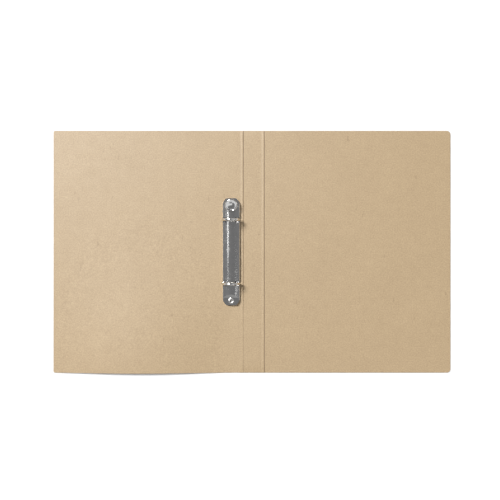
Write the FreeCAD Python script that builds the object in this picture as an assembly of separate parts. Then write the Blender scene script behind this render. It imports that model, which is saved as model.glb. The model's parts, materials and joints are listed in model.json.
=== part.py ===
import FreeCAD, Part
import math
import os

# A two-ring file of kraft board, lying open and flat with its inner side up.
#
# Millimetres.  +X runs from the back cover across the spine to the front cover, +Y runs
# towards the head of the file and +Z is up.  The origin is at the middle of the open
# board, on the surface that the file lies on, so the folds run along Y at equal
# distances from it.  The ring mechanism stands on the back cover, beside the spine.

V = FreeCAD.Vector
UP = V(0, 0, 1)

# ---- board ---------------------------------------------------------------------------
board_height = 307.0         # along the folds
cover_width = 239.5          # from a fold line to a cover's free edge
board_t = 1.5
fold_gap = 0.3               # slit between two panels along a fold line
back_corner_r = 2.0
front_corner_r = 4.5

# ---- rings ---------------------------------------------------------------------------
ring_spacing = 80.0          # standard two-hole punching
ring_outer_d = 23.4
wire_d = 3.2
foot_inset = 0.5             # ring's outside to its blade's outer edge, at the blade
ring_swing_deg = 11.0        # travel of each ring half
tip_gap = 0.3                # between the two closed tips
tip_cone_d = 2.2
tip_point_d = 0.7
tip_cone_l = 0.8
tip_clearance = 0.25         # socket larger than the cone, all round
tenon_d = 2.0                # ring foot, where it passes through its blade
stake_d = 3.2                # ring foot, where it is headed under the blade
stake_t = 0.5

# ---- cover plate of the mechanism ----------------------------------------------------
plate_width = 21.5
plate_length = 135.0
plate_peak = 7.2             # crown of the arch, above the board
plate_wall = 4.3             # where the side wall turns into the arch
plate_land = 4.6             # flat ends that take the rivets
plate_nose = 11.5            # straight part of each end
land_length = 9.5
slope_length = 4.0
sheet_t = 0.8
shoulder_r = 1.5
hem_height = 2.3             # side walls are folded double up to here

# ---- blades inside the plate ---------------------------------------------------------
blade_t = 0.9
blade_rest_gap = 0.35        # above the hems
blade_side_gap = 0.45        # to the side walls
blade_mid_gap = 0.3          # between the two blades
blade_end_gap = 1.5          # to the sloping end of the plate
blade_nose_cover = 0.1       # blades run on past the lever's nose

# ---- openings in the plate -----------------------------------------------------------
notch_side_gap = 1.7         # beside a ring, along the plate
notch_depth_gap = 0.6        # inside a ring, across the plate
slot_gap = 0.35              # around the lever's arm

# ---- lever ---------------------------------------------------------------------------
lever_inset = 16.5           # pivot, from the end of the plate
lever_press_deg = 20.0
lever_t = 0.8
lever_arm_w = 7.0
lever_finger_w = 3.0
lever_nose_d = 1.1
lever_nose_gap = 0.3         # under the blades
lever_tab_d = 16.0
lever_tab_rise = 8.6         # bend between arm and tab, above the board
tab_rim_w = 1.4
tab_rim_h = 0.7
pin_d = 1.6
pin_head_d = 2.6
pin_head_t = 0.35
pin_clearance = 0.05
barrel_d = 2.9

# ---- rivets --------------------------------------------------------------------------
rivet_inset = 5.5            # from the end of the plate
rivet_shank_d = 4.4
rivet_bore_d = 3.0
rivet_curl_d = 7.6
rivet_curl_t = 0.9
rivet_head_d = 9.0
rivet_head_t = 0.5           # sunk flush into the outside of the board

# ---- clearances between the file's moving parts --------------------------------------
spine_clearance = 0.5        # open ring to the standing spine
ring_headroom = 1.0          # open ring to the closed front cover, at least

# ---- worked out from the above -------------------------------------------------------
ring_r = ring_outer_d / 2
wire_r = wire_d / 2
ring_line_r = ring_r - wire_r
swing = math.radians(ring_swing_deg)
half_swing = swing / 2
half_press = math.radians(lever_press_deg / 2)

inner_face = board_t
pivot_x = plate_width / 2 - sheet_t - blade_side_gap
pivot_rise = hem_height + blade_rest_gap + blade_t / 2
pivot_z = inner_face + pivot_rise
ring_rise = math.sqrt(ring_r ** 2 - (pivot_x - foot_inset) ** 2)
ring_z = pivot_z + ring_rise

ring_reach = pivot_x * (1 - math.cos(swing)) + ring_rise * math.sin(swing) + ring_r
ring_top = (pivot_rise + (ring_rise + ring_r) * math.cos(swing)
            + pivot_x * math.sin(swing))
spine_width = math.ceil(ring_top + ring_headroom)
fold_x = spine_width / 2
mech_x = -fold_x - ring_reach - spine_clearance

rivet_y = plate_length / 2 - rivet_inset
lever_y = plate_length / 2 - lever_inset
blade_w = pivot_x - blade_mid_gap / 2
finger_l = blade_w * math.sin(half_swing) / math.sin(half_press)
lever_z = pivot_z - blade_t / 2 - lever_nose_gap - lever_nose_d / 2
nose_y = lever_y - finger_l * math.cos(half_press)
nose_z = lever_z - finger_l * math.sin(half_press)
blade_head_y = nose_y + lever_nose_d / 2 + blade_nose_cover
blade_tail_y = -(plate_length / 2 - land_length - slope_length - blade_end_gap)


def box(x0, x1, y0, y1, z0, z1):
    return Part.makeBox(x1 - x0, y1 - y0, z1 - z0, V(x0, y0, z0))


def rod(start, end, radius):
    run = end - start
    return Part.makeCylinder(radius, run.Length, start, run)


def polygon(points):
    return Part.makePolygon(points + points[:1])


def round_corners(wire, radius):
    """Round the outward corners of a closed outline."""
    sharp = wire.makeOffset2D(-radius, 2)
    return sharp.makeOffset2D(radius, 0)


def at_mechanism(shape):
    """Move a piece drawn around the plate's own middle line to its place."""
    shape.translate(V(mech_x, 0, 0))
    return shape


def mirrored(shape):
    return shape.mirror(V(0, 0, 0), V(1, 0, 0))


# ---- board ---------------------------------------------------------------------------
def panel(x0, x1):
    half = board_height / 2
    return box(x0, x1, -half, half, 0, board_t)


def round_free_edge(board, x, radius):
    corners = [edge for edge in board.Edges
               if abs(edge.CenterOfMass.x - x) < 1e-6
               and abs(edge.CenterOfMass.z - board_t / 2) < 1e-6
               and edge.Length < 2 * board_t]
    return board.makeFillet(radius, corners)


def back_cover():
    board = panel(-fold_x - cover_width, -fold_x - fold_gap / 2)
    board = round_free_edge(board, -fold_x - cover_width, back_corner_r)
    for y in (-rivet_y, rivet_y):
        foot = V(mech_x, y, 0)
        board = board.cut(rod(foot, foot + UP * board_t, rivet_shank_d / 2))
        board = board.cut(rod(foot, foot + UP * rivet_head_t, rivet_head_d / 2))
    return board


def spine_panel():
    return panel(-fold_x + fold_gap / 2, fold_x - fold_gap / 2)


def front_cover():
    board = panel(fold_x + fold_gap / 2, fold_x + cover_width)
    return round_free_edge(board, fold_x + cover_width, front_corner_r)


# ---- cover plate of the mechanism ----------------------------------------------------
def plate_section():
    """Outline across the plate: upright side walls under a shallow arch."""
    half = plate_width / 2
    below = -2 * plate_peak                 # well under the open side
    wall = [V(-half, 0, plate_wall), V(-half, 0, below), V(half, 0, below),
            V(half, 0, plate_wall)]
    arch = Part.Arc(wall[3], V(0, 0, plate_peak), wall[0]).toShape()
    sides = [Part.makeLine(a, b) for a, b in zip(wall, wall[1:])]
    return round_corners(Part.Wire(sides + [arch]), shoulder_r)


def plate_profile():
    """Outline along the plate: the crown drops to a flat land at each end."""
    end = plate_length / 2
    land = end - land_length
    below = -2 * plate_peak                 # well under the open side
    above = plate_peak + 2 * shoulder_r     # the slope, carried on past the crown
    steep = (above - plate_land) / (plate_peak - plate_land) * slope_length
    side = [V(0, end, below), V(0, end, plate_land), V(0, land, plate_land),
            V(0, land - steep, above)]
    other = [V(0, -p.y, p.z) for p in reversed(side)]
    return polygon(side + other)


def plate_outline():
    """Outline from above: straight sides that draw in to a narrow nose."""
    half = plate_width / 2
    nose = plate_nose / 2
    end = plate_length / 2
    land = end - land_length
    drop = half - nose
    radius = (drop ** 2 + land_length ** 2) / (2 * drop)
    turn = math.asin(land_length / radius) / 2
    mid_x = half - radius * (1 - math.cos(turn))
    mid_y = land + radius * math.sin(turn)
    edges = []
    for sx, sy in ((1, 1), (-1, 1), (-1, -1), (1, -1)):
        edges.append(Part.Arc(V(sx * half, sy * land, 0), V(sx * mid_x, sy * mid_y, 0),
                              V(sx * nose, sy * end, 0)).toShape())
    edges.append(Part.makeLine(V(nose, end, 0), V(-nose, end, 0)))
    edges.append(Part.makeLine(V(-half, land, 0), V(-half, -land, 0)))
    edges.append(Part.makeLine(V(-nose, -end, 0), V(nose, -end, 0)))
    edges.append(Part.makeLine(V(half, -land, 0), V(half, land, 0)))
    return Part.Wire(Part.__sortEdges__(edges))


def plate_block(inset):
    """The plate's outside, or with an inset the hollow under it."""
    wires = [plate_section(), plate_profile(), plate_outline()]
    if inset:
        wires = [wire.makeOffset2D(-inset, 2) for wire in wires]
    across, along, above = [Part.Face(wire) for wire in wires]
    across.translate(V(0, -plate_length, 0))
    along.translate(V(-plate_width, 0, 0))
    above.translate(V(0, 0, -plate_peak))
    block = across.extrude(V(0, 2 * plate_length, 0))
    block = block.common(along.extrude(V(2 * plate_width, 0, 0)))
    return block.common(above.extrude(V(0, 0, 4 * plate_peak)))


def mechanism_plate():
    half = plate_width / 2
    end = plate_length / 2
    shell = plate_block(0).cut(plate_block(sheet_t))
    shell = shell.common(box(-half, half, -end, end, 0, 2 * plate_peak))
    straight = end - land_length
    for side in (-1, 1):
        x0, x1 = sorted((side * (half - 2 * sheet_t), side * (half - sheet_t / 2)))
        shell = shell.fuse(box(x0, x1, -straight, straight, 0, hem_height))
    shell = shell.removeSplitter()
    shell.translate(UP * inner_face)
    for y in (-ring_spacing / 2, ring_spacing / 2):
        for side in (-1, 1):
            shell = shell.cut(ring_notch(side, y))
    shell = shell.cut(lever_slot())
    shell = shell.cut(rod(V(-half, lever_y, lever_z), V(half, lever_y, lever_z), pin_d / 2))
    for y in (-rivet_y, rivet_y):
        foot = V(0, y, inner_face)
        shell = shell.cut(rod(foot, foot + UP * plate_peak, rivet_shank_d / 2))
    return at_mechanism(shell)


def ring_notch(side, y):
    """Opening in the plate's shoulder that a ring half passes through."""
    half_length = wire_r + notch_side_gap
    surface = inner_face + plate_wall
    inner_r = ring_r - wire_d
    crossing = math.sqrt(inner_r ** 2 - (ring_z - surface) ** 2)
    x0, x1 = sorted((side * (crossing - notch_depth_gap), side * plate_width))
    floor = inner_face + hem_height + blade_rest_gap
    return box(x0, x1, y - half_length, y + half_length, floor, ring_z)


def lever_slot():
    """Opening in the plate's crown for the swing of the lever's arm."""
    half = lever_arm_w / 2 + slot_gap
    lean = (inner_face + plate_peak - lever_z) * math.tan(2 * half_press)
    y0 = lever_y - lever_t / 2 - slot_gap
    y1 = lever_y + lean + lever_t / 2 + slot_gap
    return box(-half, half, y0, y1, inner_face + plate_wall, ring_z)


# ---- blades and ring halves, drawn on the left and mirrored for the right ------------
def blade_direction():
    """Unit vectors along the closed left blade, inwards, and out of its upper face."""
    along = V(math.cos(half_swing), 0, -math.sin(half_swing))
    normal = V(math.sin(half_swing), 0, math.cos(half_swing))
    return along, normal


def blade_slab(thickness):
    """The closed left blade without its holes."""
    slab = box(0, blade_w, blade_tail_y, blade_head_y, -thickness / 2, thickness / 2)
    slab.rotate(V(0, 0, 0), V(0, 1, 0), math.degrees(half_swing))
    slab.translate(V(-pivot_x, 0, pivot_z))
    return slab


def ring_foot(y):
    """Where the ring's centre line meets the upper face of the closed left blade."""
    along, normal = blade_direction()
    start = V(-pivot_x, y, pivot_z) + normal * (blade_t / 2)
    offset = start - V(0, y, ring_z)
    b = offset.dot(along)
    c = offset.dot(offset) - ring_line_r ** 2
    return start + along * (-b - math.sqrt(b * b - c))


def left_blade():
    _, normal = blade_direction()
    blade = blade_slab(blade_t)
    for y in (-ring_spacing / 2, ring_spacing / 2):
        foot = ring_foot(y)
        blade = blade.cut(rod(foot, foot - normal * (2 * blade_t), tenon_d / 2))
    return blade


def ring_half_left(y):
    """Half a ring of round wire, with a pointed tip and a foot staked to its blade."""
    _, normal = blade_direction()
    centre = V(0, y, ring_z)
    foot = ring_foot(y)
    foot_angle = math.atan2(foot.z - ring_z, foot.x)
    past_foot = wire_d / ring_line_r
    lead = math.asin(tip_gap / 2 / ring_line_r)
    start = math.pi / 2 + lead
    stop = 2 * math.pi + foot_angle + past_foot
    mouth = centre + V(math.cos(start), 0, math.sin(start)) * ring_line_r
    heading = V(-math.sin(start), 0, math.cos(start))
    profile = Part.Face(Part.Wire(Part.makeCircle(wire_r, mouth, heading)))
    wire = profile.revolve(centre, V(0, -1, 0), math.degrees(stop - start))
    wire = wire.cut(under_blade(foot))
    tip = Part.makeCone(tip_cone_d / 2, tip_point_d / 2, tip_cone_l, mouth, V(1, 0, 0))
    tenon = rod(foot, foot - normal * blade_t, tenon_d / 2)
    head = rod(foot - normal * blade_t, foot - normal * (blade_t + stake_t), stake_d / 2)
    return wire.fuse(tip).fuse(tenon).fuse(head).removeSplitter()


def under_blade(foot):
    """A block that fills everything below the upper face of the closed left blade."""
    block = box(-ring_r, ring_r, -ring_r, ring_r, -2 * ring_r, 0)
    block.rotate(V(0, 0, 0), V(0, 1, 0), math.degrees(half_swing))
    block.translate(foot)
    return block


def ring_half_right(y):
    """The mirrored half, with a socket for the other's tip in place of a point."""
    half = mirrored(ring_half_left(y))
    reach = tip_cone_l + tip_gap
    centre = V(0, y, ring_z + ring_line_r)
    point = box(-reach, tip_gap / 2, y - wire_d, y + wire_d,
                centre.z - wire_d, centre.z + wire_d)
    half = half.cut(point)
    mouth_r = tip_cone_d / 2 + tip_clearance
    floor_r = tip_point_d / 2 + tip_clearance
    socket = Part.makeCone(mouth_r, floor_r, tip_cone_l + tip_clearance,
                           centre - V(tip_gap / 2, 0, 0), V(1, 0, 0))
    return half.cut(socket)


# ---- lever ---------------------------------------------------------------------------
def lever():
    """A bent steel strip: a finger under the blades, an arm, and a round dished tab."""
    half_arm = lever_arm_w / 2
    pivot = V(0, lever_y, lever_z)
    side = V(half_arm, 0, 0)
    bend = V(0, lever_y, inner_face + lever_tab_rise)
    nose = V(0, nose_y, nose_z)
    half_finger = V(lever_finger_w / 2, 0, 0)

    barrel = rod(pivot - side, pivot + side, barrel_d / 2)
    arm = box(-half_arm, half_arm, lever_y - lever_t / 2, lever_y + lever_t / 2,
              lever_z, bend.z)
    corner = rod(bend - side, bend + side, lever_t / 2)
    finger = box(-lever_finger_w / 2, lever_finger_w / 2, -finger_l, 0,
                 -lever_t / 2, lever_t / 2)
    finger.rotate(V(0, 0, 0), V(1, 0, 0), math.degrees(half_press))
    finger.translate(pivot)
    tip = rod(nose - half_finger, nose + half_finger, lever_nose_d / 2)

    neck = box(-half_arm, half_arm, 0, lever_tab_d / 2, -lever_t / 2, lever_t / 2)
    dish = lever_tab()
    dish.translate(V(0, lever_tab_d / 2, 0))
    tab = neck.fuse(dish)
    tab.rotate(V(0, 0, 0), V(1, 0, 0), lever_press_deg)
    tab.translate(bend)

    body = barrel
    for piece in (arm, corner, finger, tip, tab):
        body = body.fuse(piece)
    eye = rod(pivot - side, pivot + side, pin_d / 2 + pin_clearance)
    return at_mechanism(body.removeSplitter().cut(eye))


def lever_tab():
    """Round tab with a raised rim, drawn flat around its own middle."""
    r = lever_tab_d / 2
    low = -lever_t / 2
    floor = lever_t / 2
    rim = floor + tab_rim_h
    points = [V(0, 0, low), V(r - lever_t, 0, low), V(r, 0, floor), V(r, 0, rim),
              V(r - tab_rim_w / 2, 0, rim), V(r - tab_rim_w, 0, floor), V(0, 0, floor)]
    return Part.Face(polygon(points)).revolve(V(0, 0, 0), UP, 360)


def lever_pin():
    half = plate_width / 2
    left = V(-half, lever_y, lever_z)
    right = V(half, lever_y, lever_z)
    head = V(pin_head_t, 0, 0)
    pin = rod(left, right, pin_d / 2)
    pin = pin.fuse(rod(left - head, left, pin_head_d / 2))
    pin = pin.fuse(rod(right, right + head, pin_head_d / 2))
    return at_mechanism(pin.removeSplitter())


# ---- rivets --------------------------------------------------------------------------
def rivet(y):
    """Tubular rivet: flat head outside the board, shank, and a curl on the plate."""
    seat = inner_face + plate_land
    shank = rivet_shank_d / 2
    bore = rivet_bore_d / 2
    curl = rivet_curl_d / 2
    head = rivet_head_d / 2
    crest = seat + rivet_curl_t
    mid = (curl + bore) / 2
    lines = [V(0, 0, 0), V(head, 0, 0), V(head, 0, rivet_head_t),
             V(shank, 0, rivet_head_t), V(shank, 0, seat), V(curl, 0, seat)]
    edges = [Part.makeLine(a, b) for a, b in zip(lines, lines[1:])]
    inside = [V(bore, 0, seat), V(bore, 0, rivet_head_t), V(0, 0, rivet_head_t),
              V(0, 0, 0)]
    edges.append(Part.Arc(lines[-1], V(mid, 0, crest), inside[0]).toShape())
    edges += [Part.makeLine(a, b) for a, b in zip(inside, inside[1:])]
    body = Part.Face(Part.Wire(edges)).revolve(V(0, 0, 0), UP, 360)
    body.translate(V(0, y, 0))
    return at_mechanism(body)


def build():
    head_y = ring_spacing / 2
    parts = {
        "back_cover": back_cover(),
        "spine_panel": spine_panel(),
        "front_cover": front_cover(),
        "mechanism_plate": mechanism_plate(),
        "left_blade": at_mechanism(left_blade()),
        "right_blade": at_mechanism(mirrored(left_blade())),
        "lever": lever(),
        "lever_pin": lever_pin(),
        "head_rivet": rivet(rivet_y),
        "tail_rivet": rivet(-rivet_y),
    }
    for name, y in (("head_ring", head_y), ("tail_ring", -head_y)):
        parts[name + "_left_half"] = at_mechanism(ring_half_left(y))
        parts[name + "_right_half"] = at_mechanism(ring_half_right(y))
    return parts


os.makedirs("parts", exist_ok=True)
for node, shape in build().items():
    solids = shape.Solids
    if len(solids) == 1:
        shape = solids[0]
    shape.exportStep("parts/" + node + ".step")
    print(node, len(solids), "solid", shape.isValid(), round(shape.Volume, 1), "mm3")

print("fold lines: x", -fold_x, fold_x, "z", inner_face)
print("blade pivots: x", mech_x - pivot_x, mech_x + pivot_x, "z", pivot_z)
print("lever pivot: y", lever_y, "z", lever_z)
print("rings: x", mech_x, "z", ring_z)
print("lever turns per blade turn:", lever_press_deg / ring_swing_deg)
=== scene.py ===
# A two-ring file of kraft board, lying open with its inner side up on a pale studio table.
# Metres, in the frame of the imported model: +X from the back cover to the front cover,
# +Y towards the head of the file, +Z up.  The table's surface is at z = 0.
import json
import math

import bmesh
import bpy
import numpy as np
from mathutils import Matrix, Vector


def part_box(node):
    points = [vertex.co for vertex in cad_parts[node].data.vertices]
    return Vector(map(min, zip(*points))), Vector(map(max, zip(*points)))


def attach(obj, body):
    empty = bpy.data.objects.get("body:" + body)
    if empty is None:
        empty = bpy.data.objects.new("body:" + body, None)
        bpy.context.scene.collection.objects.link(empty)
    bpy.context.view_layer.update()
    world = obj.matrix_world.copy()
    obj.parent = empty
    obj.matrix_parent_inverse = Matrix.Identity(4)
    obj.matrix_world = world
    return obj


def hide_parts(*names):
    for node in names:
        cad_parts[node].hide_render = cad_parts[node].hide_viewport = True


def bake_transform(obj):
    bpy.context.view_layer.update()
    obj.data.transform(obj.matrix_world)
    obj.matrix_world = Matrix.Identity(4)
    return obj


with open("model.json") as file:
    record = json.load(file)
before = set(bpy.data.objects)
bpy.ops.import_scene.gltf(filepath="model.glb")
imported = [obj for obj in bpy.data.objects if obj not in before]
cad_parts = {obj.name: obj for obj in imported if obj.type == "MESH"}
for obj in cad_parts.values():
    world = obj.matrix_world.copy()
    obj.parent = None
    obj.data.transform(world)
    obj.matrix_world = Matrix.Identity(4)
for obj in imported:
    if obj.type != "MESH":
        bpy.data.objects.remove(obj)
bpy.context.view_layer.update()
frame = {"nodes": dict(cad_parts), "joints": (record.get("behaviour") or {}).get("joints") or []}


# ---- camera --------------------------------------------------------------------------
# It hangs straight above the open file, a little less than 0.8 m over the board, with
# the head of the file at the top of the view.
camera_place = (-0.00254, 0.0022, 0.7615)
camera_lens_mm = 43.1
camera_film_mm = 36.0
camera_data = bpy.data.cameras.new("overhead_camera")
camera_data.lens = camera_lens_mm
camera_data.sensor_width = camera_film_mm
camera = bpy.data.objects.new("overhead_camera", camera_data)
camera.location = camera_place
bpy.context.scene.collection.objects.link(camera)
bpy.context.scene.camera = camera


# ---- studio --------------------------------------------------------------------------
# A pale room with a dim ceiling: one big soft window high on the left towards the head,
# a small strip of light on the left for the plate's highlight, and two weak cards, on
# the right and at the tail.  The file lies on a large sheet of white paper.
class Wire:
    """A node socket whose arithmetic adds Math nodes to its own tree."""

    def __init__(self, finish, socket):
        self.finish = finish
        self.socket = socket

    def maths(self, operation, *values):
        settings = {"operation": operation}
        sockets = dict(enumerate(values))
        return self.finish.node("ShaderNodeMath", settings, sockets)

    def __add__(self, other):
        return self.maths("ADD", self, other)

    def __radd__(self, other):
        return self.maths("ADD", other, self)

    def __sub__(self, other):
        return self.maths("SUBTRACT", self, other)

    def __rsub__(self, other):
        return self.maths("SUBTRACT", other, self)

    def __mul__(self, other):
        return self.maths("MULTIPLY", self, other)

    def __rmul__(self, other):
        return self.maths("MULTIPLY", other, self)

    def __truediv__(self, other):
        return self.maths("DIVIDE", self, other)

    def clipped(self, low, high):
        """Rises from 0 to 1 between the two values."""
        settings = {"interpolation_type": "SMOOTHSTEP"}
        sockets = {"Value": self, "From Min": low, "From Max": high}
        return self.finish.node("ShaderNodeMapRange", settings, sockets)


class Finish:
    """A node tree: of a material, of the room's light, or of a shape."""

    def __init__(self, tree):
        self.tree = tree
        self.tree.nodes.clear()

    def node(self, kind, settings=None, sockets=None, out=0):
        """Adds a node, sets it up, fills or links its sockets, and gives one output."""
        node = self.tree.nodes.new(kind)
        for name, value in (settings or {}).items():
            if name == "stops":
                self.set_stops(node.color_ramp.elements, value)
            else:
                setattr(node, name, value)
        for name, value in (sockets or {}).items():
            if isinstance(value, Wire):
                self.tree.links.new(value.socket, node.inputs[name])
            else:
                node.inputs[name].default_value = value
        return Wire(self, node.outputs[out]) if node.outputs else node

    def set_stops(self, elements, stops):
        """Gives a colour ramp these (place, colour) stops."""
        while len(elements) < len(stops):
            elements.new(0.5)
        for element, (place, colour) in zip(elements, stops):
            element.position = place
            element.color = (*colour, 1.0)


studio = bpy.data.worlds.new("studio")
studio.use_nodes = True
room = Finish(studio.node_tree)
direction = room.node("ShaderNodeTexCoord", out="Generated")
height = room.node("ShaderNodeSeparateXYZ", sockets={"Vector": direction}, out="Z")
room_stops = [
    (0.0, (0.80, 0.80, 0.80)),
    (0.20, (0.55, 0.55, 0.55)),
    (0.42, (0.23, 0.23, 0.235)),
    (1.0, (0.20, 0.20, 0.205))]
room_light = room.node("ShaderNodeValToRGB", {"stops": room_stops}, {"Fac": height})
backdrop = room.node("ShaderNodeBackground", sockets={"Color": room_light})
room.node("ShaderNodeOutputWorld", sockets={"Surface": backdrop})
bpy.context.scene.world = studio


def soft_light(name, turn_deg, rise_deg, distance, size, watts):
    """A rectangular light that faces the file, turned from -X towards the head."""
    turn, rise = math.radians(turn_deg), math.radians(rise_deg)
    towards = Vector((-math.cos(turn) * math.cos(rise), math.sin(turn) * math.cos(rise),
                      math.sin(rise)))
    data = bpy.data.lights.new(name, "AREA")
    data.shape = "RECTANGLE"
    data.size, data.size_y = size
    data.energy = watts
    light = bpy.data.objects.new(name, data)
    light.location = towards * distance
    light.rotation_euler = towards.to_track_quat("Z", "Y").to_euler()
    bpy.context.scene.collection.objects.link(light)


soft_light("window_light", 40, 56, 9.0, (2.8, 2.8), 1060.0)
soft_light("strip_light", 6, 66, 3.2, (0.36, 0.12), 0.45)
soft_light("low_card", 203, 50, 3.0, (0.6, 1.1), 6.0)
soft_light("tail_card", 262, 48, 3.0, (2.4, 1.4), 7.0)

table_half = 20.0
paper_pale = (0.83, 0.83, 0.83, 1)
paper_dull = (0.80, 0.80, 0.80, 1)
paper_glow = 0.95
glow_start = 1.0
glow_full = 6.0
table_mesh = bpy.data.meshes.new("studio_table")
table_mesh.from_pydata([(-table_half, -table_half, 0), (table_half, -table_half, 0),
                        (table_half, table_half, 0), (-table_half, table_half, 0)],
                       [], [(0, 1, 2, 3)])
table = bpy.data.objects.new("studio_table", table_mesh)
bpy.context.scene.collection.objects.link(table)
table_material = bpy.data.materials.new("white_paper")
table_material.use_nodes = True
paper = Finish(table_material.node_tree)
paper_place = paper.node("ShaderNodeTexCoord", out="Object")
paper_tooth = paper.node("ShaderNodeTexNoise", sockets={
    "Vector": paper_place, "Scale": 400.0, "Detail": 3.0})
paper_colour = paper.node("ShaderNodeMix", {"data_type": "RGBA"}, {
    0: paper_tooth, 6: paper_dull, 7: paper_pale}, out=2)
paper_distance = paper.node("ShaderNodeVectorMath", {"operation": "LENGTH"}, {
    0: paper_place}, out="Value")
paper_far = paper_distance.clipped(glow_start, glow_full)
paper_surface = paper.node("ShaderNodeBsdfPrincipled", sockets={
    "Base Color": paper_colour, "Roughness": 0.9, "Specular IOR Level": 0.1,
    "Emission Color": paper_far, "Emission Strength": paper_glow})
paper.node("ShaderNodeOutputMaterial", sockets={"Surface": paper_surface})
table_mesh.materials.append(table_material)

bpy.context.scene.view_settings.view_transform = "Standard"


# ---- board: covers and spine ---------------------------------------------------------
# One sheet of solid kraft board, 1.5 mm thick, guillotined with rounded outer corners.
# The covers and the spine stay flat, but for a tail edge that has lifted; the board
# between them is creased into two beads.
back_low, back_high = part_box("back_cover")
_, front_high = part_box("front_cover")
board_half = back_high.y
board_t = back_high.z
joints = {joint["name"]: joint for joint in frame["joints"]}
fold_x = abs(joints["spine_fold"]["pos_m"][0])
crease_outside = 0.0028
front_crease_outside = crease_outside + 0.0013
crease_inside = 0.0025
edge_r = 0.00018
edge_turns = (0.0, 30.0, 60.0, 90.0)
back_corner_r = 0.0020
front_corner_r = 0.0045
corner_steps = 6
cover_columns = 31
cover_rows = 41
smooth_angle = math.radians(40)

kraft_material = bpy.data.materials.new("kraft_board_uncoated")
kraft_material.use_nodes = True
kraft = Finish(kraft_material.node_tree)
kraft_place = kraft.node("ShaderNodeTexCoord", out="Object")


def pulp(scale, detail, stretch=(1, 1, 1), turn=0.0, rough=0.5):
    """Noise in the sheet; a stretch and a turn lay it out as fibres."""
    laid = kraft.node("ShaderNodeMapping", sockets={
        "Vector": kraft_place, "Rotation": (0, 0, turn), "Scale": stretch})
    return kraft.node("ShaderNodeTexNoise", sockets={
        "Vector": laid, "Scale": scale, "Detail": detail, "Roughness": rough})


cloud = pulp(16.0, 3.0)
blotch = pulp(95.0, 3.0)
grain = pulp(620.0, 4.0, rough=0.75)
fibres = pulp(420.0, 3.0, (1.0, 0.22, 1.0), 0.5)
cross_fibres = pulp(460.0, 3.0, (0.2, 1.0, 1.0), 0.35)
strands = fibres.clipped(0.60, 0.74) + cross_fibres.clipped(0.61, 0.75)
shives = pulp(240.0, 2.0, (1.0, 0.35, 1.0), 1.2).clipped(0.69, 0.76)
cloud_tone, blotch_tone, grain_tone, strand_tone, shive_tone = 0.20, 0.22, 2.1, 0.10, 0.35
tone = (0.5 + (cloud - 0.5) * cloud_tone + (blotch - 0.5) * blotch_tone
        + (grain - 0.5) * grain_tone - strands * strand_tone + shives * shive_tone)
kraft_light = (0.473, 0.348, 0.200, 1)
kraft_dark = (0.287, 0.197, 0.103, 1)
ply_light = (0.36, 0.275, 0.185, 1)
ply_dark = (0.24, 0.175, 0.11, 1)
# Painted shade: the score line's dark brown stands in for the shade on each bead's steep side,
# as well as for the slightly darker pressed fibres.
score_shade_brown = (0.125, 0.077, 0.038, 1)
score_shade_share = 0.80
kraft_face = kraft.node("ShaderNodeMix", {"data_type": "RGBA"}, {
    0: tone, 6: kraft_light, 7: kraft_dark}, out=2)
cut = kraft.node("ShaderNodeAttribute", {"attribute_name": "cut_edge"}, out="Fac")
plies = pulp(300.0, 2.0, (1.0, 1.0, 12.0))
kraft_core = kraft.node("ShaderNodeMix", {"data_type": "RGBA"}, {
    0: plies.clipped(0.40, 0.62), 6: ply_light, 7: ply_dark}, out=2)
# This mask paints shade along each score line, over the slightly darker pressed fibres.
score_shade_mask = kraft.node("ShaderNodeAttribute", {"attribute_name": "pressed"}, out="Fac")
kraft_with_score_shade = kraft.node("ShaderNodeMix", {"data_type": "RGBA"}, {
    0: score_shade_mask * score_shade_share, 6: kraft_face, 7: score_shade_brown}, out=2)
kraft_colour = kraft.node("ShaderNodeMix", {"data_type": "RGBA"}, {
    0: cut, 6: kraft_with_score_shade, 7: kraft_core}, out=2)
felt = pulp(2600.0, 2.0)
grain_h, felt_h, strand_h, blotch_h, ply_h = 0.000014, 0.000012, 0.000015, 0.00002, 0.00006
kraft_height = (grain * grain_h + felt * felt_h + strands * strand_h
                + blotch * blotch_h + plies * cut * ply_h)
kraft_relief = kraft.node("ShaderNodeBump", sockets={
    "Strength": 0.55, "Distance": 1.0, "Height": kraft_height})
kraft_roughness = 0.57
cut_roughness = 0.2
kraft_surface = kraft.node("ShaderNodeBsdfPrincipled", sockets={
    "Base Color": kraft_colour,
    "Roughness": kraft_roughness + (blotch - 0.5) * 0.08 + cut * cut_roughness,
    "IOR": 1.5, "Specular IOR Level": 0.9, "Normal": kraft_relief})
kraft.node("ShaderNodeOutputMaterial", sockets={"Surface": kraft_surface})


def add_piece(name, mesh, material):
    """A mesh that is already in place, as an object at the origin."""
    mesh.materials.append(material)
    piece = bpy.data.objects.new(name, mesh)
    bpy.context.scene.collection.objects.link(piece)
    return piece


def edge_rows():
    """Inset and depth of the rows that round an edge of the sheet."""
    turns = [math.radians(turn) for turn in edge_turns]
    return [(edge_r * (1 - math.sin(turn)), edge_r * (1 - math.cos(turn)))
            for turn in turns]


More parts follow.
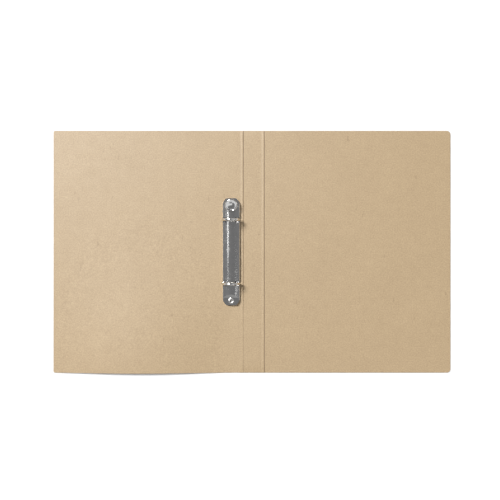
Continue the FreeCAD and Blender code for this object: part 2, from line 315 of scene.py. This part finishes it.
def board_mesh(name, grids, lift):
    """Closes layered grids of points, from the upper face round to the lower one."""
    mesh = bpy.data.meshes.new(name)
    build = bmesh.new()
    cut_layer = build.verts.layers.float.new("cut_edge")
    upper, lower = grids[0], grids[-1]
    across, along = upper.shape[:2]
    rim = ([(i, 0) for i in range(across)] + [(across - 1, j) for j in range(1, along)]
           + [(i, along - 1) for i in range(across - 2, -1, -1)])

    def add_vertex(point, edge):
        x, y, z = point
        vertex = build.verts.new((x, y, z + lift(x, y)))
        vertex[cut_layer] = edge
        return vertex

    def add_sheet(points):
        return [[add_vertex(points[i, j], 0.0) for j in range(along)]
                for i in range(across)]

    top, bottom = add_sheet(upper), add_sheet(lower)
    for sheet in (top, bottom):
        for i in range(across - 1):
            for j in range(along - 1):
                build.faces.new((sheet[i][j], sheet[i + 1][j], sheet[i + 1][j + 1],
                                 sheet[i][j + 1]))
    loops = [[top[i][j] for i, j in rim]]
    for layer in grids[1:-1]:
        loops.append([add_vertex(layer[i, j], 1.0) for i, j in rim])
    loops.append([bottom[i][j] for i, j in rim])
    for first, second in zip(loops, loops[1:]):
        for k in range(len(rim) - 1):
            build.faces.new((first[k], first[k + 1], second[k + 1], second[k]))
    fold_side = [top[0][j] for j in range(along)]
    ends = [loop[-1] for loop in loops[1:-1]]
    starts = [loop[0] for loop in loops[-2:0:-1]]
    build.faces.new(fold_side + ends + [bottom[0][j] for j in range(along - 1, -1, -1)]
                    + starts)
    bmesh.ops.recalc_face_normals(build, faces=build.faces)
    for face in build.faces:
        face.smooth = True
    build.to_mesh(mesh)
    build.free()
    mesh.set_sharp_from_angle(angle=smooth_angle)
    return mesh


def cover_grids(fold, free, corner):
    """Layers of a cover: straight along the fold, with its two free corners rounded."""
    side = math.copysign(1, free - fold)
    flat_x = abs(free - fold) - corner
    flat_y = board_half - corner
    steps = np.arange(1, corner_steps + 1) / corner_steps
    rows = edge_rows()
    layers = [(inset, board_t - depth) for inset, depth in rows]
    layers += [(inset, depth) for inset, depth in reversed(rows)]
    grids = []
    for inset, z in layers:
        r = corner - inset
        xs = np.concatenate([np.linspace(0, flat_x, cover_columns), flat_x + r * steps])
        ys = np.concatenate([-flat_y - r * steps[::-1],
                             np.linspace(-flat_y, flat_y, cover_rows),
                             flat_y + r * steps])
        x, y = np.meshgrid(xs, ys, indexing="ij")
        u = np.clip((x - flat_x) / r, 0, None)
        v = np.clip((abs(y) - flat_y) / r, 0, None)
        in_corner = (u > 0) & (v > 0)
        round_x = flat_x + r * u * np.sqrt(1 - np.minimum(v, 1) ** 2 / 2)
        round_y = np.sign(y) * (flat_y + r * v * np.sqrt(1 - np.minimum(u, 1) ** 2 / 2))
        x = np.where(in_corner, round_x, x)
        y = np.where(in_corner, round_y, y)
        grids.append(np.stack([fold + side * x, y, np.full_like(x, z)], axis=-1))
    return grids


def bowed_tail_edge(x, y):
    """The loose tail edge of the back cover has lifted a little off the table."""
    middle, reach, depth, rise = -0.143, 0.122, 0.110, 0.0070
    along = max(0.0, 1 - ((x - middle) / reach) ** 2)
    return rise * along ** 2 * math.exp(-((y + board_half) / depth) ** 2)


def flat(x, y):
    """The front cover lies flat on the table."""
    return 0.0


rivet_shank_r = 0.0022
rivet_head_t = 0.0005
seat_clearance = 0.00002
drill_run_out = 0.001
drill_sides = 64


def rivet_seats(cover):
    """Cuts the two rivet holes, with the shallow seats of the heads outside."""
    cutter_mesh = bpy.data.meshes.new("rivet_seat_cutter")
    cutter = bmesh.new()
    for name in ("head_rivet", "tail_rivet"):
        low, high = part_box(name)
        middle = (low + high) / 2
        seat_r = (high.x - low.x) / 2 + seat_clearance
        for radius, top in ((rivet_shank_r, board_t + drill_run_out),
                            (seat_r, rivet_head_t)):
            bottom = -drill_run_out
            centre = Vector((middle.x, middle.y, (bottom + top) / 2))
            bmesh.ops.create_cone(cutter, cap_ends=True, segments=drill_sides,
                                  radius1=radius, radius2=radius, depth=top - bottom,
                                  matrix=Matrix.Translation(centre))
    cutter.to_mesh(cutter_mesh)
    cutter.free()
    tool = bpy.data.objects.new("rivet_seat_cutter", cutter_mesh)
    bpy.context.scene.collection.objects.link(tool)
    drill = cover.modifiers.new("rivet_holes", "BOOLEAN")
    drill.operation = "DIFFERENCE"
    drill.solver = "EXACT"
    drill.use_self = True
    drill.object = tool
    graph = bpy.context.evaluated_depsgraph_get()
    drilled = bpy.data.meshes.new_from_object(cover.evaluated_get(graph))
    cover.modifiers.clear()
    cover.data = drilled
    bpy.data.objects.remove(tool)


back_board = add_piece("back_cover_board", board_mesh("back_cover_board", cover_grids(
    -fold_x - crease_outside, back_low.x, back_corner_r), bowed_tail_edge),
    kraft_material)
rivet_seats(back_board)
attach(back_board, "back")
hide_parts("back_cover")

front_board = add_piece("front_cover_board", board_mesh("front_cover_board", cover_grids(
    fold_x + front_crease_outside, front_high.x, front_corner_r), flat),
    kraft_material)
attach(front_board, "front")
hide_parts("front_cover")


# ---- creases and spine ---------------------------------------------------------------
# Each crease is a low bead pressed up out of the sheet from outside, with a sharp score
# line along one side.  The spine between the two stays flat.
bead_rise = 0.00028
bead_climb = 0.0036
bead_drop = 0.00095
score_depth = 0.00022
score_back = 0.00045
back_score_x = -0.01080
front_score_x = 0.01586
mark_reach = 1.25
mark_offset = 0.00005
below_share = 0.8
fade_start = 0.075
fade_run = 0.020
strip_rows = 25
spine_columns = 9
back_crease_columns = 73
front_crease_columns = 85
back_tail_share = 0.4


def strip_mesh(name, x0, x1, columns, score=None, tail_share=1.0):
    """A strip along the folds, with an optional bead and a painted shade line along its score,
    both of which may fade towards the tail.
    """
    xs = np.linspace(x0, x1, columns)
    rise = np.zeros_like(xs)
    pressed = np.zeros_like(xs)
    if score is not None:
        climb = np.clip((xs - score + bead_drop + bead_climb) / bead_climb, 0, 1)
        drop = np.clip((xs - score + bead_drop) / bead_drop, 0, 1)
        back = np.clip((xs - score) / score_back, 0, 1)
        rise = (bead_rise * (1 - np.cos(math.pi * climb)) / 2
                - (bead_rise + score_depth) * (1 - np.cos(math.pi * drop)) / 2
                + score_depth * (1 - np.cos(math.pi * back)) / 2)
        # Mask of the painted shade along the score line: the shade of the bead's steep side
        # together with the darker pressed fibres.
        pressed = np.clip(mark_reach - abs(xs - score + mark_offset) / score_back, 0, 1)
    rows = edge_rows()
    ends = [(board_half - inset, depth) for inset, depth in rows]
    flat_y = board_half - edge_r
    ring = [(y, board_t - depth, 1.0) for y, depth in ends[::-1]]
    ring += [(y, board_t, 1.0) for y in np.linspace(flat_y, -flat_y, strip_rows)[1:-1]]
    ring += [(-y, board_t - depth, 1.0) for y, depth in ends]
    ring += [(-y, depth, below_share) for y, depth in ends[::-1]]
    ring += [(y, 0.0, below_share)
             for y in np.linspace(-flat_y, flat_y, strip_rows)[1:-1]]
    ring += [(y, depth, below_share) for y, depth in ends]
    mesh = bpy.data.meshes.new(name)
    build = bmesh.new()
    cut_layer = build.verts.layers.float.new("cut_edge")
    score_shade_layer = build.verts.layers.float.new("pressed")
    columns_made = []
    ring_y = np.array([y for y, z, share in ring])
    fade_y = np.clip((ring_y + fade_start) / fade_run, 0, 1)
    fade = tail_share + (1 - tail_share) * fade_y
    for x, lift, score_shade_weight in zip(xs, rise, pressed):
        column = []
        for (y, z, share), kept in zip(ring, fade):
            vertex = build.verts.new((x, y, z + lift * share * kept))
            vertex[cut_layer] = 1.0 if abs(y) > flat_y + edge_r / 4 else 0.0
            vertex[score_shade_layer] = score_shade_weight * kept
            column.append(vertex)
        columns_made.append(column)
    count = len(ring)
    for first, second in zip(columns_made, columns_made[1:]):
        for k in range(count):
            following = (k + 1) % count
            build.faces.new((first[k], first[following], second[following], second[k]))
    build.faces.new(columns_made[0])
    build.faces.new(columns_made[-1])
    bmesh.ops.recalc_face_normals(build, faces=build.faces)
    for face in build.faces:
        face.smooth = True
    build.to_mesh(mesh)
    build.free()
    mesh.set_sharp_from_angle(angle=smooth_angle)
    return mesh


spine_board = add_piece("spine_board", strip_mesh(
    "spine_board", -fold_x + crease_inside, fold_x - crease_inside, spine_columns),
    kraft_material)
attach(spine_board, "spine")
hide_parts("spine_panel")

back_crease = add_piece("back_crease", strip_mesh(
    "back_crease", -fold_x - crease_outside, -fold_x + crease_inside,
    back_crease_columns, back_score_x, back_tail_share), kraft_material)
-fold_x - crease_inside
-fold_x + crease_inside
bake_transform(back_crease)

front_crease = add_piece("front_crease", strip_mesh(
    "front_crease", fold_x - crease_inside, fold_x + front_crease_outside,
    front_crease_columns, front_score_x), kraft_material)
fold_x - crease_inside
fold_x + crease_inside
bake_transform(front_crease)


# ---- cover plate ---------------------------------------------------------------------
# A spring plate pressed from thin steel and bright nickel plated: arched across, with
# flat ends for the rivets.  Drawing and polishing leave faint lines along it.
plated_material = bpy.data.materials.new("bright_nickel_plate")
plated_material.use_nodes = True
plated = Finish(plated_material.node_tree)
plated_place = plated.node("ShaderNodeTexCoord", out="Object")


def metal_noise(finish, place, scale, stretch=(1, 1, 1), detail=2.0):
    """Noise over a metal piece; a stretch draws it out into polishing lines."""
    drawn = finish.node("ShaderNodeMapping", sockets={
        "Vector": place, "Scale": stretch})
    return finish.node("ShaderNodeTexNoise", sockets={
        "Vector": drawn, "Scale": scale, "Detail": detail})


smudge = metal_noise(plated, plated_place, 130.0, detail=3.0)
wave = metal_noise(plated, plated_place, 170.0)
polish = metal_noise(plated, plated_place, 2600.0, (1.0, 0.03, 1.0))
pits = metal_noise(plated, plated_place, 1500.0).clipped(0.70, 0.78)
nickel_bright = (0.74, 0.735, 0.72, 1)
nickel_dull = (0.60, 0.59, 0.57, 1)
nickel = plated.node("ShaderNodeMix", {"data_type": "RGBA"}, {
    0: smudge.clipped(0.35, 0.75) * 0.7 + pits * 0.3,
    6: nickel_bright, 7: nickel_dull}, out=2)
wave_h, polish_h, pit_h = 0.000004, 0.0000005, 0.0000015
nickel_relief = plated.node("ShaderNodeBump", sockets={
    "Strength": 0.7, "Distance": 1.0,
    "Height": wave * wave_h + polish * polish_h - pits * pit_h})
nickel_roughness = 0.11
nickel_surface = plated.node("ShaderNodeBsdfPrincipled", sockets={
    "Base Color": nickel, "Metallic": 1.0,
    "Roughness": (nickel_roughness + smudge.clipped(0.40, 0.80) * 0.10
                  + (polish - 0.5) * 0.10),
    "Normal": nickel_relief})
plated.node("ShaderNodeOutputMaterial", sockets={"Surface": nickel_surface})
frame["nodes"]["mechanism_plate"].material_slots[0].material = plated_material


# ---- rings ---------------------------------------------------------------------------
# Four half rings of round wire, nickel plated like the plate.  Left halves end in a
# small cone and right halves in its socket, and each foot is staked to its blade.
for ring in ("head_ring", "tail_ring"):
    for half in ("left_half", "right_half"):
        wire_half = frame["nodes"][f"{ring}_{half}"]
        wire_half.material_slots[0].material = plated_material


# ---- blades and pin ------------------------------------------------------------------
# Two flat strips of spring steel inside the plate, left with the rolling mill's grain,
# and the turned pin that the lever swings on.
blade_material = bpy.data.materials.new("rolled_spring_steel")
blade_material.use_nodes = True
rolled = Finish(blade_material.node_tree)
rolled_place = rolled.node("ShaderNodeTexCoord", out="Object")
mill_lines = metal_noise(rolled, rolled_place, 1800.0, (1.0, 0.02, 1.0), 3.0)
oil = metal_noise(rolled, rolled_place, 60.0, detail=4.0)
blade_clean = (0.52, 0.52, 0.53, 1)
blade_oiled = (0.36, 0.35, 0.34, 1)
blade_roughness = 0.30
mill_line_h = 0.000004
blade_colour = rolled.node("ShaderNodeMix", {"data_type": "RGBA"}, {
    0: oil.clipped(0.3, 0.7), 6: blade_clean, 7: blade_oiled}, out=2)
blade_relief = rolled.node("ShaderNodeBump", sockets={
    "Strength": 0.6, "Distance": 1.0, "Height": mill_lines * mill_line_h})
blade_surface = rolled.node("ShaderNodeBsdfPrincipled", sockets={
    "Base Color": blade_colour, "Metallic": 1.0,
    "Roughness": blade_roughness + mill_lines * 0.16 + (oil - 0.5) * 0.1,
    "Normal": blade_relief})
rolled.node("ShaderNodeOutputMaterial", sockets={"Surface": blade_surface})
for blade in ("left_blade", "right_blade"):
    frame["nodes"][blade].material_slots[0].material = blade_material

turned_material = bpy.data.materials.new("turned_rivet_steel")
turned_material.use_nodes = True
turned = Finish(turned_material.node_tree)
turned_place = turned.node("ShaderNodeTexCoord", out="Object")
tarnish = metal_noise(turned, turned_place, 420.0, detail=4.0)
tool_marks = metal_noise(turned, turned_place, 3200.0, (1.0, 1.0, 0.2))
turned_bright = (0.76, 0.75, 0.73, 1)
turned_dull = (0.52, 0.50, 0.47, 1)
turned_roughness = 0.20
tool_mark_h, tarnish_h = 0.000002, 0.00001
turned_colour = turned.node("ShaderNodeMix", {"data_type": "RGBA"}, {
    0: tarnish.clipped(0.35, 0.70), 6: turned_bright, 7: turned_dull}, out=2)
turned_relief = turned.node("ShaderNodeBump", sockets={
    "Strength": 0.6, "Distance": 1.0,
    "Height": tool_marks * tool_mark_h + tarnish * tarnish_h})
turned_surface = turned.node("ShaderNodeBsdfPrincipled", sockets={
    "Base Color": turned_colour, "Metallic": 1.0,
    "Roughness": turned_roughness + tarnish * 0.16 + tool_marks * 0.05,
    "Normal": turned_relief})
turned.node("ShaderNodeOutputMaterial", sockets={"Surface": turned_surface})
frame["nodes"]["lever_pin"].material_slots[0].material = turned_material


# ---- rivets --------------------------------------------------------------------------
# Two tubular rivets hold the plate.  The flat head is let into the outside of the
# board, and the tube's end is rolled over into a round curl on the plate's flat end.
rivet_bore_r = 0.00153
rivet_sides = 64
curl_sides = 24
curl_mid_r = 0.00265
curl_half = 0.00115
curl_crest = 0.0009
rivet_seat = 0.0061


def shape_tree(name, inputs):
    """An empty Geometry Nodes tree with named inputs."""
    tree = bpy.data.node_groups.new(name, "GeometryNodeTree")
    tree.interface.new_socket("Geometry", in_out="OUTPUT", socket_type="NodeSocketGeometry")
    for label, kind in inputs.items():
        tree.interface.new_socket(label, in_out="INPUT", socket_type="NodeSocket" + kind)
    return tree


def made_mesh(name, tree, values):
    """Evaluates a tree with the given inputs and returns its plain mesh."""
    holder = bpy.data.objects.new(name, bpy.data.meshes.new(name))
    bpy.context.scene.collection.objects.link(holder)
    modifier = holder.modifiers.new(name, "NODES")
    modifier.node_group = tree
    for item in tree.interface.items_tree:
        if item.in_out == "INPUT":
            modifier[item.identifier] = values[item.name]
    graph = bpy.context.evaluated_depsgraph_get()
    mesh = bpy.data.meshes.new_from_object(holder.evaluated_get(graph))
    mesh.name = name
    bpy.data.objects.remove(holder)
    return mesh


rivet_tree = shape_tree("tubular_rivet", {
    "Foot": "Vector", "Head Radius": "Float", "Head Thickness": "Float",
    "Shank Radius": "Float", "Bore Radius": "Float", "Seat Height": "Float",
    "Curl Middle": "Float", "Curl Half": "Float", "Curl Crest": "Float",
    "Material": "Material"})
rivet_shape = Finish(rivet_tree)


def asked(label):
    """The value that the rivet's tree is given under this name."""
    return rivet_shape.node("NodeGroupInput", out=label)


curl_path = rivet_shape.node("GeometryNodeCurvePrimitiveCircle", sockets={
    "Resolution": rivet_sides, "Radius": asked("Curl Middle")})
curl_profile = rivet_shape.node("GeometryNodeCurvePrimitiveCircle", sockets={
    "Resolution": curl_sides, "Radius": asked("Curl Half")})
curl_ring = rivet_shape.node("GeometryNodeCurveToMesh", sockets={
    "Curve": curl_path, "Profile Curve": curl_profile})
curl_scale = rivet_shape.node("ShaderNodeCombineXYZ", sockets={
    0: 1.0, 1: 1.0, 2: asked("Curl Crest") / asked("Curl Half")})
curl_place = rivet_shape.node("ShaderNodeCombineXYZ", sockets={2: asked("Seat Height")})
curl = rivet_shape.node("GeometryNodeTransform", sockets={
    "Geometry": curl_ring, "Translation": curl_place, "Scale": curl_scale})


def drum(radius, depth, base):
    """An upright round bar that starts at a height above the foot."""
    solid = rivet_shape.node("GeometryNodeMeshCylinder", {"fill_type": "NGON"}, {
        "Vertices": rivet_sides, "Radius": radius, "Depth": depth})
    middle = rivet_shape.node("ShaderNodeCombineXYZ", sockets={2: base + depth * 0.5})
    return rivet_shape.node("GeometryNodeTransform", sockets={
        "Geometry": solid, "Translation": middle})


# The shank starts half way up in the head, and the drill a quarter of the way up, so that
# no two faces of the rivet lie in one plane.
head_plug = drum(asked("Head Radius"), asked("Head Thickness"), 0.0)
shank_root = asked("Head Thickness") * 0.5
shank_wall = drum(asked("Shank Radius"), asked("Seat Height") - shank_root, shank_root)
bore_plug = drum(asked("Bore Radius"), asked("Seat Height"), asked("Head Thickness") * 0.25)
tube = rivet_shape.node("GeometryNodeMeshBoolean", {"operation": "DIFFERENCE"}, {
    "Mesh 1": shank_wall, "Mesh 2": bore_plug})
rivet_whole = rivet_shape.tree.nodes.new("GeometryNodeJoinGeometry")
for part in (head_plug, tube, curl):
    rivet_shape.tree.links.new(part.socket, rivet_whole.inputs[0])
rivet_placed = rivet_shape.node("GeometryNodeTransform", sockets={
    "Geometry": Wire(rivet_shape, rivet_whole.outputs[0]), "Translation": asked("Foot")})
rivet_real = rivet_shape.node("GeometryNodeRealizeInstances", sockets={
    "Geometry": rivet_placed})
rivet_dressed = rivet_shape.node("GeometryNodeSetMaterial", sockets={
    "Geometry": rivet_real, "Material": asked("Material")})
rivet_shape.node("NodeGroupOutput", sockets={"Geometry": rivet_dressed})

for name in ("head_rivet", "tail_rivet"):
    low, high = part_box(name)
    mesh = made_mesh(name + "_rolled", rivet_tree, {
        "Foot": ((low.x + high.x) / 2, (low.y + high.y) / 2, 0.0),
        "Head Radius": (high.x - low.x) / 2, "Head Thickness": rivet_head_t,
        "Shank Radius": rivet_shank_r, "Bore Radius": rivet_bore_r,
        "Seat Height": rivet_seat, "Curl Middle": curl_mid_r, "Curl Half": curl_half,
        "Curl Crest": curl_crest, "Material": turned_material})
    for face in mesh.polygons:
        face.use_smooth = True
    mesh.set_sharp_from_angle(angle=smooth_angle)
    rivet = bpy.data.objects.new(name + "_rolled", mesh)
    bpy.context.scene.collection.objects.link(rivet)
    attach(rivet, "back")
    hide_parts(name)


# ---- lever ---------------------------------------------------------------------------
# A strip of plated steel: a finger under the blades, a barrel rolled round the pin, an
# arm up through the plate, and a round dished thumb tab with a rolled rim.
lever_pivot = Vector(joints["lever_press"]["pos_m"])
lever_t = 0.0008
arm_half = 0.0035
finger_half = 0.0015
barrel_hole_r = 0.00085
barrel_r = 0.00145
barrel_segments = 32
nose_r = 0.00055
nose_segments = 24
tab_r = 0.0080
tab_tilt = math.radians(20)
tab_bend = Vector((lever_pivot.x, lever_pivot.y, 0.0101))
tab_segments = 96
dish_depth = 0.00085
dish_r = 0.0060
dish_steps = 12
rim_r = 0.00070
rim_lift = rim_r * 0.45
rim_steps = 12
rim_from, rim_round = 200, 230
corner_r = 0.0010
corner_bends = 8
neck_length = 0.0030
arm_foot = 0.0009
finger_back, finger_drop = 0.0010, 0.0002
edge_ease = 0.22
lever_smooth_angle = math.radians(50)


def bent_strip(build, path, half, thickness):
    """A flat strip along a path in the plane across the pin, with eased edges."""
    ease = thickness * edge_ease
    sections = []
    for k, (y, z) in enumerate(path):
        before, after = path[max(k - 1, 0)], path[min(k + 1, len(path) - 1)]
        run = Vector((0, after[0] - before[0], after[1] - before[1])).normalized()
        out = Vector((0, -run.z, run.y))
        t = thickness / 2
        ring = [(half - ease, t), (half, t - ease), (half, ease - t), (half - ease, -t),
                (ease - half, -t), (-half, ease - t), (-half, t - ease), (ease - half, t)]
        sections.append([build.verts.new(Vector((lever_pivot.x + across, y, z))
                                         + out * up) for across, up in ring])
    count = len(sections[0])
    for first, second in zip(sections, sections[1:]):
        for k in range(count):
            following = (k + 1) % count
            build.faces.new((first[k], first[following], second[following], second[k]))
    build.faces.new(sections[0])
    build.faces.new(sections[-1])


def turned_ring(build, outline, segments, place):
    """Turns a closed outline of (radius, height) points; a zero radius is a pole."""
    rings = []
    for radius, height in outline:
        if radius == 0:
            rings.append([build.verts.new(place @ Vector((0, 0, height)))])
            continue
        rings.append([build.verts.new(place @ Vector((
            radius * math.cos(2 * math.pi * s / segments),
            radius * math.sin(2 * math.pi * s / segments), height)))
            for s in range(segments)])
    for first, second in zip(rings, rings[1:] + rings[:1]):
        if len(first) == 1 and len(second) == 1:
            continue
        for s in range(segments):
            following = (s + 1) % segments
            if len(first) == 1:
                build.faces.new((first[0], second[s], second[following]))
            elif len(second) == 1:
                build.faces.new((first[s], second[0], first[following]))
            else:
                build.faces.new((first[s], second[s], second[following],
                                 first[following]))


def dish_outline():
    """Upper face from the middle out over the rolled rim, and back underneath."""
    dish = []
    for k in range(dish_steps + 1):
        r = dish_r * k / dish_steps
        sunk = dish_depth * math.cos(math.pi * r / dish_r / 2) ** 2
        dish.append((r, lever_t / 2 - sunk))
    rim = []
    for k in range(rim_steps + 1):
        turn = math.radians(rim_from - rim_round * k / rim_steps)
        rim.append((tab_r - rim_r + rim_r * math.cos(turn),
                    lever_t / 2 + rim_lift + rim_r * math.sin(turn)))
    below = [(r, h - lever_t) for r, h in reversed(dish)]
    return dish + rim + [(tab_r - lever_t, -lever_t / 2)] + below


lever_mesh = bpy.data.meshes.new("thumb_lever")
lever_build = bmesh.new()
corner_turn = math.pi / 2 - tab_tilt
corner_set = corner_r * math.tan(corner_turn / 2)
arm_path = [(lever_pivot.y, lever_pivot.z + arm_foot)]
for k in range(corner_bends + 1):
    turn = corner_turn * k / corner_bends
    arm_path.append((tab_bend.y + corner_r * (1 - math.cos(turn)),
                     tab_bend.z - corner_set + corner_r * math.sin(turn)))
tab_run = Vector((0, math.cos(tab_tilt), math.sin(tab_tilt)))
neck_end = tab_bend + tab_run * neck_length
arm_path.append((neck_end.y, neck_end.z))
bent_strip(lever_build, arm_path, arm_half, lever_t)

finger_low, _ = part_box("lever")
nose = Vector((lever_pivot.x, finger_low.y + nose_r, finger_low.z + nose_r))
finger_path = [(nose.y, nose.z),
               (lever_pivot.y - finger_back, lever_pivot.z - finger_drop)]
bent_strip(lever_build, finger_path, finger_half, lever_t)

sideways = Matrix.Rotation(math.pi / 2, 4, "Y")
barrel = [(barrel_hole_r, -arm_half), (barrel_r, -arm_half), (barrel_r, arm_half),
          (barrel_hole_r, arm_half)]
turned_ring(lever_build, barrel, barrel_segments,
            Matrix.Translation(lever_pivot) @ sideways)
nose_roll = [(0.0, -finger_half), (nose_r, -finger_half), (nose_r, finger_half),
             (0.0, finger_half)]
turned_ring(lever_build, nose_roll, nose_segments, Matrix.Translation(nose) @ sideways)
tab_middle = tab_bend + tab_run * tab_r
tab_place = Matrix.Translation(tab_middle) @ Matrix.Rotation(tab_tilt, 4, "X")
turned_ring(lever_build, dish_outline(), tab_segments, tab_place)
bmesh.ops.recalc_face_normals(lever_build, faces=lever_build.faces)
for face in lever_build.faces:
    face.smooth = True
lever_build.to_mesh(lever_mesh)
lever_build.free()
lever_mesh.set_sharp_from_angle(angle=lever_smooth_angle)
thumb_lever = add_piece("thumb_lever", lever_mesh, plated_material)
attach(thumb_lever, "lever")
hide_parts("lever")
